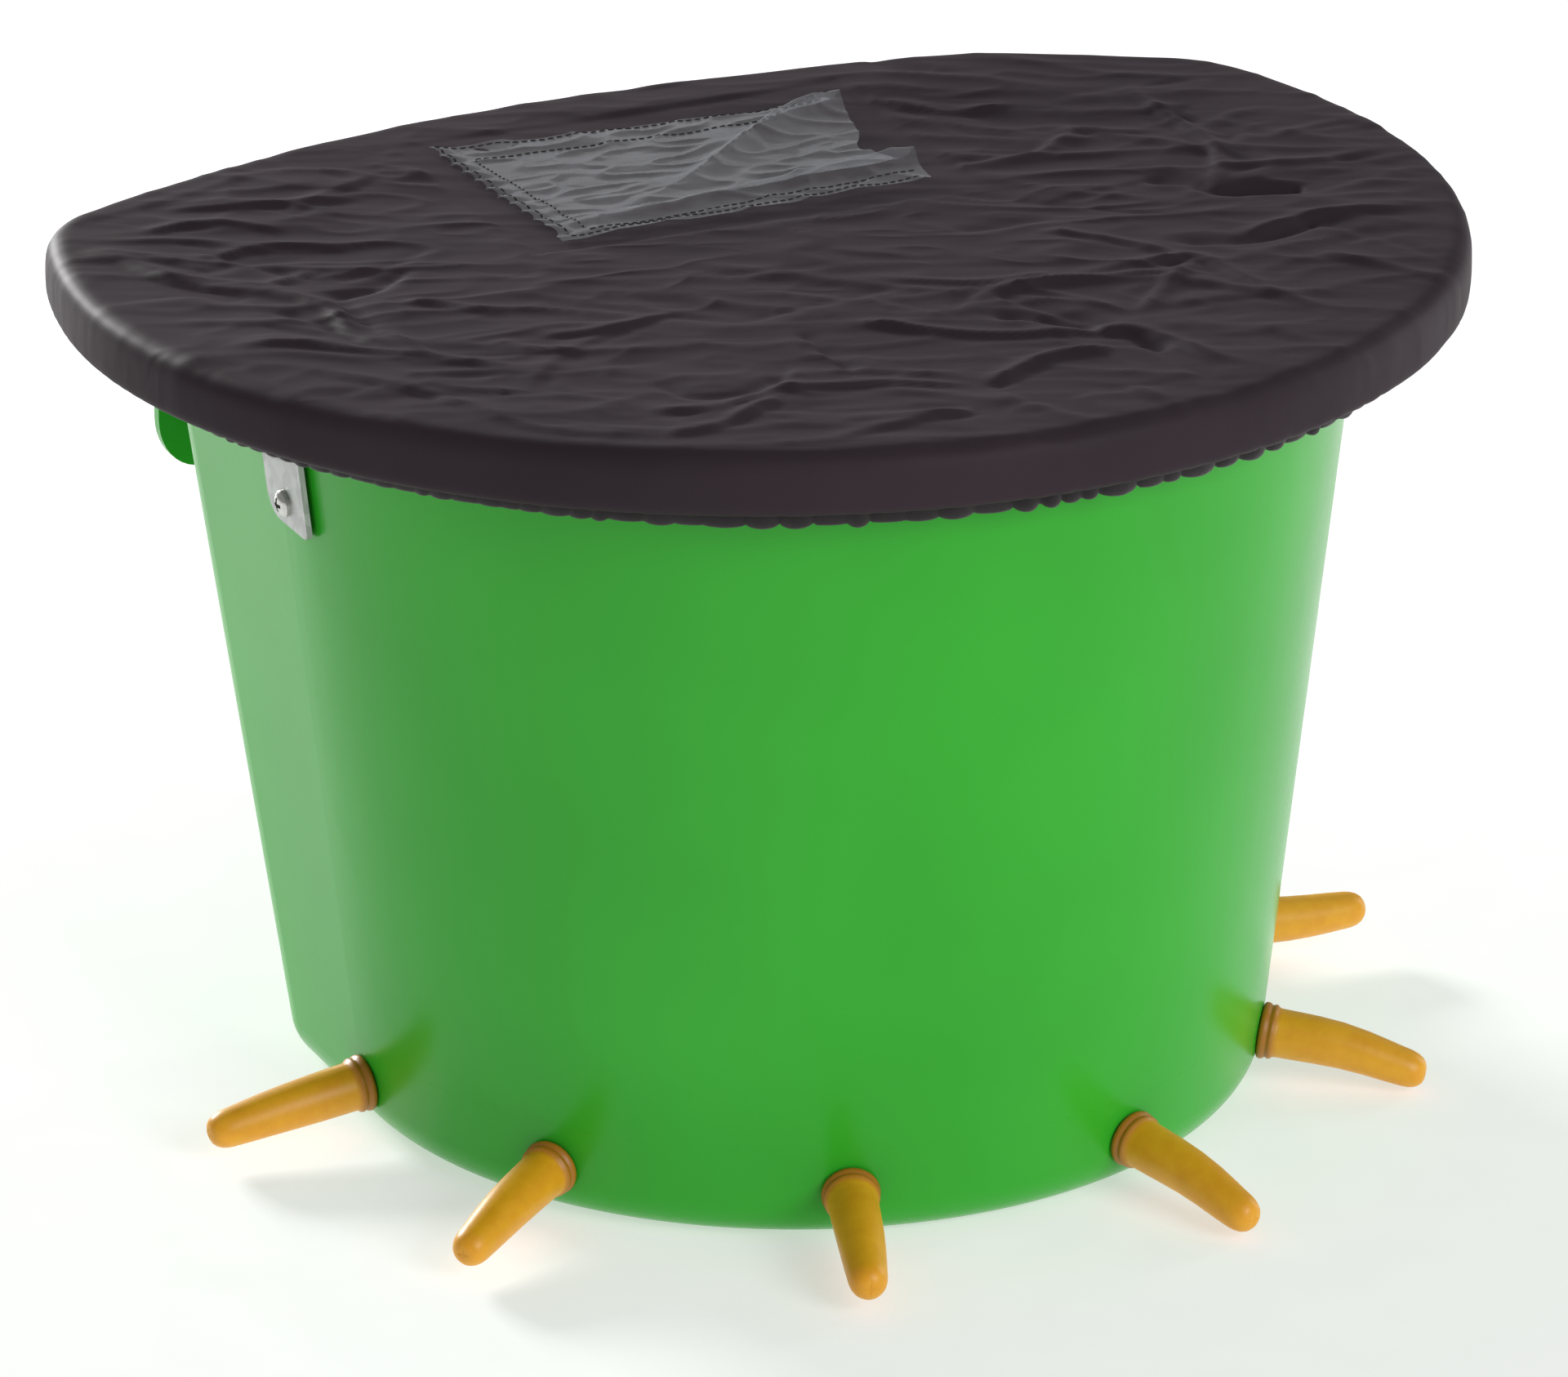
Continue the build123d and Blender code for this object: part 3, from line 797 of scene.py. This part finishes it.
# Stitched rows, from one place to another in shares of the film's width and height
stitchRows = [
    ((0.012, 0.985), (0.985, 0.985)), ((0.065, 0.855), (0.985, 0.870)),
    ((0.012, 0.985), (0.030, 0.020)), ((0.065, 0.855), (0.085, 0.045)),
    ((0.030, 0.020), (0.985, 0.020)), ((0.085, 0.045), (0.985, 0.075)),
]


def pocketPlace(a, b):
    near = Vector(pocketSettings["nearLeft"]).lerp(Vector(pocketSettings["nearRight"]), a)
    far = Vector(pocketSettings["farLeft"]).lerp(Vector(pocketSettings["farRight"]), a)
    return near.lerp(far, b)


def ridgeShape(offset, width):
    return 1 / (1 + (offset / width) ** 2) ** 1.6


def filmSpot(a, b):
    # a runs from the sewn left edge to the open right one, b from the near edge to the far
    spot = pocketPlace(a, b)
    opened = smoothStep(0.25, 1.0, a)
    ruffle = smoothStep(0.075, 0.0, a) * smoothStep(0.0, 0.05, b)
    ruffleTurn = b * pocketSettings["ruffleTurns"]
    x = spot.x - pocketSettings["ruffle"] * ruffle * math.sin(ruffleTurn)
    y = spot.y
    height = pocketSettings["ruffleRise"] * ruffle * (1 + math.sin(ruffleTurn + 1.1))
    # One curl runs up across the film, the other along its near edge
    diagonal = b - blendValue(0.22, 0.86, smoothStep(0.22, 1.0, a))
    curl = blendValue(pocketSettings["curlStart"], pocketSettings["curl"], opened ** 1.3)
    height += curl * ridgeShape(diagonal, 0.075) * smoothStep(0.2, 0.45, a) \
        * (0.55 if diagonal < 0 else 1.0) ** 0.3
    lower = b - blendValue(0.12, 0.155, a)
    curl = blendValue(pocketSettings["lowerCurlStart"], pocketSettings["lowerCurl"],
                      smoothStep(0.1, 1.0, a))
    height += curl * ridgeShape(lower, 0.045)
    # The open edge draws back between the two curls
    middle = ridgeShape(b - 0.45, 0.16)
    x -= pocketSettings["drawBack"] * smoothStep(0.8, 1.0, a) * middle
    small = noise.noise(Vector((x * 60, y * 85, 4.0))) * pocketSettings["small"]
    fine = (1 - abs(noise.noise(Vector((x * 38, y * 95, 8.0))))) ** 5 * pocketSettings["fine"]
    height += abs(small) + fine * smoothStep(0.0, 0.1, a)
    return Vector((x, y, clothTop(x, y) + pocketSettings["lift"] + height))


def makeFilm(material):
    bm = grid(pocketSettings["columns"], pocketSettings["rows"])
    for vert in bm.verts:
        vert.co = filmSpot((vert.co.x + 1) / 2, (vert.co.y + 1) / 2)
    piece = finishPiece("clearPocket", bm, material, "cover")
    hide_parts("document_pocket")
    return piece


def stitchRow(start, end):
    # The two ends of each stitch along one row, walked in short steps over the film
    walk = 400
    points = [filmSpot(blendValue(start[0], end[0], i / walk),
                       blendValue(start[1], end[1], i / walk)) for i in range(walk + 1)]
    pieces = []
    begin = 0
    travelled = 0.0
    for i in range(1, len(points)):
        travelled += (points[i] - points[i - 1]).length
        if travelled >= pocketSettings["stitch"]:
            pieces.append((points[begin], points[i]))
            begin = i
            travelled = 0.0
    return pieces


def makeStitches(material):
    bm = bmesh.new()
    for start, end in stitchRows:
        for first, last in stitchRow(start, end):
            span = last - first
            long = max(span.length - pocketSettings["stitchGap"], pocketSettings["stitchLeast"])
            turn = span.to_track_quat("X", "Z").to_matrix().to_4x4()
            size = Matrix.Diagonal((long / 2, pocketSettings["thread"],
                                    pocketSettings["thread"] * 0.8, 1))
            rise = Vector((0, 0, pocketSettings["stitchRise"]))
            place = Matrix.Translation((first + last) / 2 + rise)
            bmesh.ops.create_icosphere(bm, subdivisions=2, radius=1.0,
                                       matrix=place @ turn @ size)
    piece = finishPiece("pocketStitches", bm, material, "cover")
    return piece


def clearFilm():
    # Soft clear vinyl: milkier where it turns away from the eye, glossy enough to catch the
    # softboxes, with a faint 8 mm waviness.
    material, tree, shader, coords = newMaterial(
        "clearVinyl", Roughness=0.16, IOR=1.5, Specular_IOR_Level=0.6)
    shader.inputs["Base Color"].default_value = hexColour("#b9bcc2")
    cloud = noiseValue(tree, coords, 55.0, 4.0, 0.6)
    facing = addNode(tree, "ShaderNodeLayerWeight", inputs={"Blend": 0.35}).outputs["Facing"]
    total = addNode(tree, "ShaderNodeMath", {"operation": "MULTIPLY_ADD"}, {1: 0.35},
                    {0: cloud, 2: facing}).outputs["Value"]
    milk = mapped(tree, total,
                  {"From Min": 0.3, "From Max": 1.35, "To Min": 0.1, "To Max": 0.8})
    tree.links.new(milk, shader.inputs["Alpha"])
    tree.links.new(bump(tree, noiseValue(tree, coords, 120.0, 3.0), 0.0004, 0.5),
                   shader.inputs["Normal"])
    return material


def sewingThread():
    # Black polyester thread: matt with a twisted ply.
    material, tree, shader, coords = newMaterial("polyesterThread", Roughness=0.7)
    ply = noiseValue(tree, coords, 1800.0, 2.0)
    colourCloud(tree, shader, ply, "#0c0b0c", "#1d1b1d")
    return material


film = makeFilm(clearFilm())
stitches = makeStitches(sewingThread())
print("pocket made")

for name, obj in (("cover", cover), ("film", film)):
    print(name, "area", round(sum(face.area for face in obj.data.polygons), 4))
